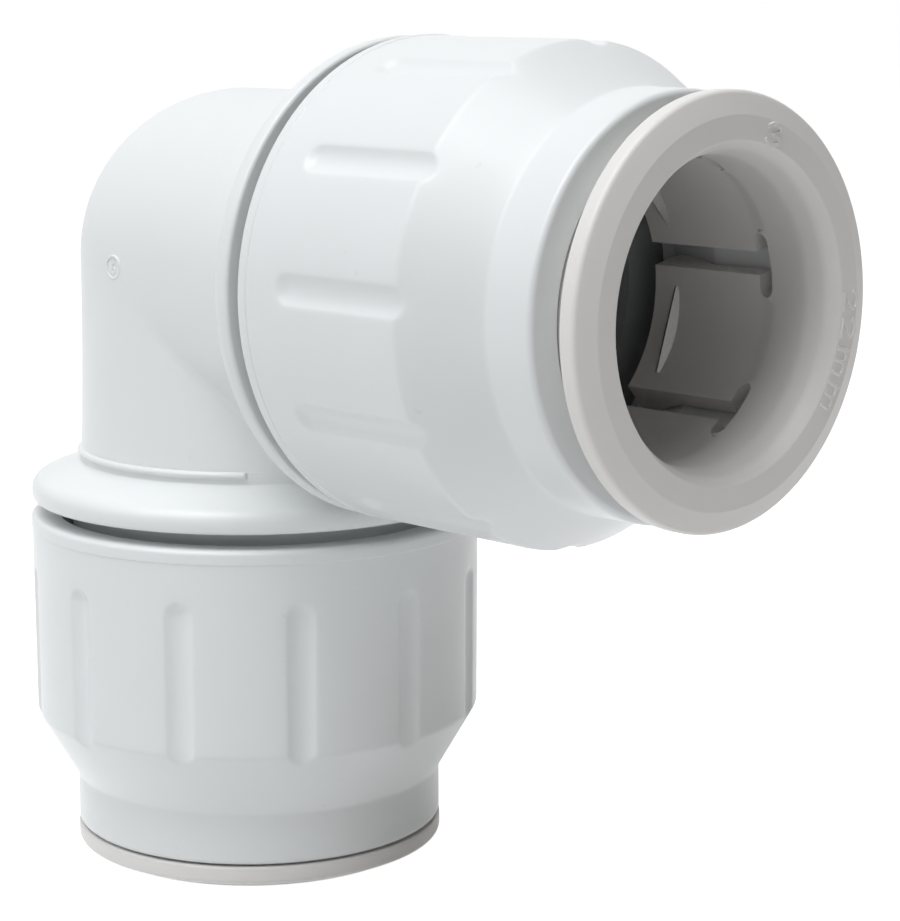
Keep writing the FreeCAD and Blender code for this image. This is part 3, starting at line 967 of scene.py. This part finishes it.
def lamp(name, place, aim, size, power, colour):
    """A square soft lamp turned towards a point."""
    data = bpy.data.lights.new(name, "AREA")
    data.shape = "SQUARE"
    data.size = size
    data.energy = power
    data.color = colour
    obj = bpy.data.objects.new(name, data)
    obj.location = place
    obj.rotation_euler = (aim - place).to_track_quat("-Z", "Y").to_euler()
    bpy.context.scene.collection.objects.link(obj)


def build_floor(material):
    """A pale floor under the collet that the elbow stands on."""
    corners = [(x * FLOOR_HALF_SIZE, y * FLOOR_HALF_SIZE, SEAT_PLANE)
               for x, y in ((-1, -1), (1, -1), (1, 1), (-1, 1))]
    floor = new_object("floor", corners, [(0, 1, 2, 3)])
    floor.data.materials.append(material)
    return floor


def floor_material(level):
    """Matt white floor; what the camera and reflections see is lifted to the backdrop's white."""
    n = Nodes("floor_white")
    grain = n.noise(40.0, 3.0)
    n.set(Base_Color=n.mix(grain, (0.86, 0.86, 0.86), (0.88, 0.88, 0.88)), Roughness=0.9,
          Specular_IOR_Level=0.1)
    path = n.tree.nodes.new("ShaderNodeLightPath")
    seen, gloss, through = (Socket(n, path.outputs[name]) for name in SEEN_RAYS)
    strength = (seen + gloss + through) * level
    glow = n.add("ShaderNodeEmission", {}, {"Color": (1, 1, 1, 1), "Strength": strength})
    total = n.tree.nodes.new("ShaderNodeAddShader")
    n.tree.links.new(n.shader.outputs[0], total.inputs[0])
    n.tree.links.new(glow.output, total.inputs[1])
    n.tree.links.new(total.outputs[0], n.tree.nodes["Material Output"].inputs["Surface"])
    return n.material


def build_world(level):
    """Even white surroundings: they light the part at one level and are seen as plain white."""
    world = bpy.data.worlds.new("studio")
    world.use_nodes = True
    tree = world.node_tree
    tree.nodes.clear()
    path = tree.nodes.new("ShaderNodeLightPath")
    result = tree.nodes.new("ShaderNodeOutputWorld")
    mixed = tree.nodes.new("ShaderNodeMixShader")
    seen = path.outputs[SEEN_RAYS[0]]
    for name in SEEN_RAYS[1:]:
        either = tree.nodes.new("ShaderNodeMath")
        either.operation = "MAXIMUM"
        tree.links.new(seen, either.inputs[0])
        tree.links.new(path.outputs[name], either.inputs[1])
        seen = either.outputs[0]
    tree.links.new(seen, mixed.inputs[0])
    for target, colour, strength in ((1, SURROUND_COLOUR, level), (2, (1.0, 1.0, 1.0), 1.0)):
        shade = tree.nodes.new("ShaderNodeBackground")
        shade.inputs["Color"].default_value = (*colour, 1)
        shade.inputs["Strength"].default_value = strength
        tree.links.new(shade.outputs[0], mixed.inputs[target])
    tree.links.new(mixed.outputs[0], result.inputs["Surface"])
    bpy.context.scene.world = world
    bpy.context.scene.view_settings.view_transform = "Standard"


def build_camera(settings):
    """Camera on a ring round the aim point."""
    back = Vector((math.sin(settings.azimuth) * math.cos(settings.elevation),
                   -math.cos(settings.azimuth) * math.cos(settings.elevation),
                   math.sin(settings.elevation)))
    data = bpy.data.cameras.new("camera")
    data.lens = settings.lens
    data.sensor_width = 36
    data.clip_start = 0.01
    camera = bpy.data.objects.new("camera", data)
    camera.location = Vector(settings.aim) + back * settings.distance
    camera.rotation_euler = back.to_track_quat("Z", "Y").to_euler()
    bpy.context.scene.collection.objects.link(camera)
    bpy.context.scene.camera = camera


def build_lamps(settings):
    """Soft key from the camera's upper left, a soft lamp overhead and a weak warm fill at the right."""
    turn = settings.azimuth
    right = Vector((math.cos(turn), math.sin(turn), 0))
    front = Vector((math.sin(turn), -math.cos(turn), 0))
    up = Vector((0, 0, 1))
    aim = Vector(settings.aim)
    # Name, place to the right of, above and in front of the aim, width, power and colour of each lamp.
    for name, across, above, near, size, power, colour in (
            ("key_lamp", -0.31, 0.54, 0.26, 0.5, settings.key_power, COOL_LIGHT),
            ("top_lamp", -0.08, 0.66, 0.12, 0.5, settings.top_power, COOL_LIGHT),
            ("fill_lamp", 0.40, 0.10, 0.42, 0.4, settings.fill_power, WARM_LIGHT)):
        lamp(name, aim + right * across + up * above + front * near, aim, size, power, colour)


# ---------------------------------------------------------------- operators

def finishes():
    """The part's materials, made once."""
    look = bpy.context.scene.pushfit_finish
    made = bpy.data.materials
    if "moulded_body" not in made:
        moulded_plastic("moulded_body", look.body_colour, look.gloss_roughness)
        moulded_plastic("moulded_cap", look.cap_colour, look.gloss_roughness)
        moulded_plastic("moulded_collet", look.collet_colour, look.gloss_roughness + 0.06)
        moulded_plastic("moulded_spacer", (0.30, 0.31, 0.32), 0.5)
        rolled_steel()
        seal_rubber()
    return made


class PUSHFIT_OT_body(bpy.types.Operator):
    """Build the elbow body with its beads and threaded spigots"""
    bl_idname = "pushfit.body"
    bl_label = "Elbow body"

    def execute(self, context):
        elbow = build_elbow(context.scene.pushfit_body, finishes()["moulded_body"])
        keep(elbow, "elbow", "body_plastic", "elbow_body")
        return {"FINISHED"}


class PUSHFIT_OT_caps(bpy.types.Operator):
    """Build the two fluted screw caps"""
    bl_idname = "pushfit.caps"
    bl_label = "Screw caps"

    def execute(self, context):
        for port, phase in (("side", 26.5), ("lower", 29.0)):
            cap = build_cap(context.scene.pushfit_cap, port, math.radians(phase), finishes()["moulded_cap"])
            keep(cap, port + "_cap", "cap_plastic", port + "_screw_cap")
        return {"FINISHED"}


class PUSHFIT_OT_collets(bpy.types.Operator):
    """Build the two slotted collets"""
    bl_idname = "pushfit.collets"
    bl_label = "Collets"

    def execute(self, context):
        for port, phase, shift in (("side", 42.0, 0.0), ("lower", 36.0, COLLET_SHIFT)):
            collet = build_collet(context.scene.pushfit_collet, port, math.radians(phase), shift,
                                  finishes()["moulded_collet"])
            keep(collet, port + "_grip", "collet_plastic", port + "_collet")
        return {"FINISHED"}


class PUSHFIT_OT_marks(bpy.types.Operator):
    """Add the raised size and cavity marks"""
    bl_idname = "pushfit.marks"
    bl_label = "Raised marks"

    def execute(self, context):
        sizes = context.scene.pushfit_mark
        keep(face_marks(sizes, finishes()["moulded_collet"]), "side_grip", "collet_plastic")
        mark = cavity_mark(sizes, context.scene.pushfit_body.tube_radius, finishes()["moulded_body"])
        keep(mark, "elbow", "body_plastic")
        return {"FINISHED"}


class PUSHFIT_OT_inner(bpy.types.Operator):
    """Give the teeth, seals and spacer rings their finishes"""
    bl_idname = "pushfit.inner"
    bl_label = "Teeth, seals and rings"

    def execute(self, context):
        looks = {"grip_tooth": "stainless_strip", "seal_ring": "seal_rubber", "spacer_ring": "moulded_spacer"}
        for name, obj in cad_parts.items():
            for kind, finish in looks.items():
                if kind in name:
                    obj.data.materials.clear()
                    obj.data.materials.append(finishes()[finish])
        return {"FINISHED"}


class PUSHFIT_OT_stage(bpy.types.Operator):
    """Add the floor, surroundings, lamps and camera"""
    bl_idname = "pushfit.stage"
    bl_label = "Stage"

    def execute(self, context):
        settings = context.scene.pushfit_stage
        build_floor(floor_material(settings.floor_lift))
        build_world(settings.surround)
        build_lamps(settings)
        build_camera(settings)
        return {"FINISHED"}


class PUSHFIT_PT_panel(bpy.types.Panel):
    """Settings and build buttons of the push-fit elbow"""
    bl_idname = "PUSHFIT_PT_panel"
    bl_label = "Push-fit elbow"
    bl_space_type = "VIEW_3D"
    bl_region_type = "UI"
    bl_category = "Elbow"

    def draw(self, context):
        for step, (name, settings) in zip(STEPS, SETTINGS.items()):
            box = self.layout.box()
            owner = getattr(context.scene, name)
            for prop in settings.__annotations__:
                box.prop(owner, prop)
            box.operator(step.bl_idname)


SETTINGS = {
    "pushfit_body": ElbowBodySettings,
    "pushfit_cap": CapSettings,
    "pushfit_collet": ColletSettings,
    "pushfit_mark": MarkSettings,
    "pushfit_finish": FinishSettings,
    "pushfit_stage": StageSettings,
}
STEPS = (PUSHFIT_OT_body, PUSHFIT_OT_caps, PUSHFIT_OT_collets, PUSHFIT_OT_marks, PUSHFIT_OT_inner,
         PUSHFIT_OT_stage)


def register():
    for name, settings in SETTINGS.items():
        bpy.utils.register_class(settings)
        setattr(bpy.types.Scene, name, PointerProperty(type=settings))
    for step in STEPS:
        bpy.utils.register_class(step)
    bpy.utils.register_class(PUSHFIT_PT_panel)


def unregister():
    bpy.utils.unregister_class(PUSHFIT_PT_panel)
    for step in reversed(STEPS):
        bpy.utils.unregister_class(step)
    for name, settings in SETTINGS.items():
        delattr(bpy.types.Scene, name)
        bpy.utils.unregister_class(settings)


def main():
    register()
    for step in STEPS:
        group, name = step.bl_idname.split(".")
        getattr(getattr(bpy.ops, group), name)()


if __name__ == "__main__":
    main()
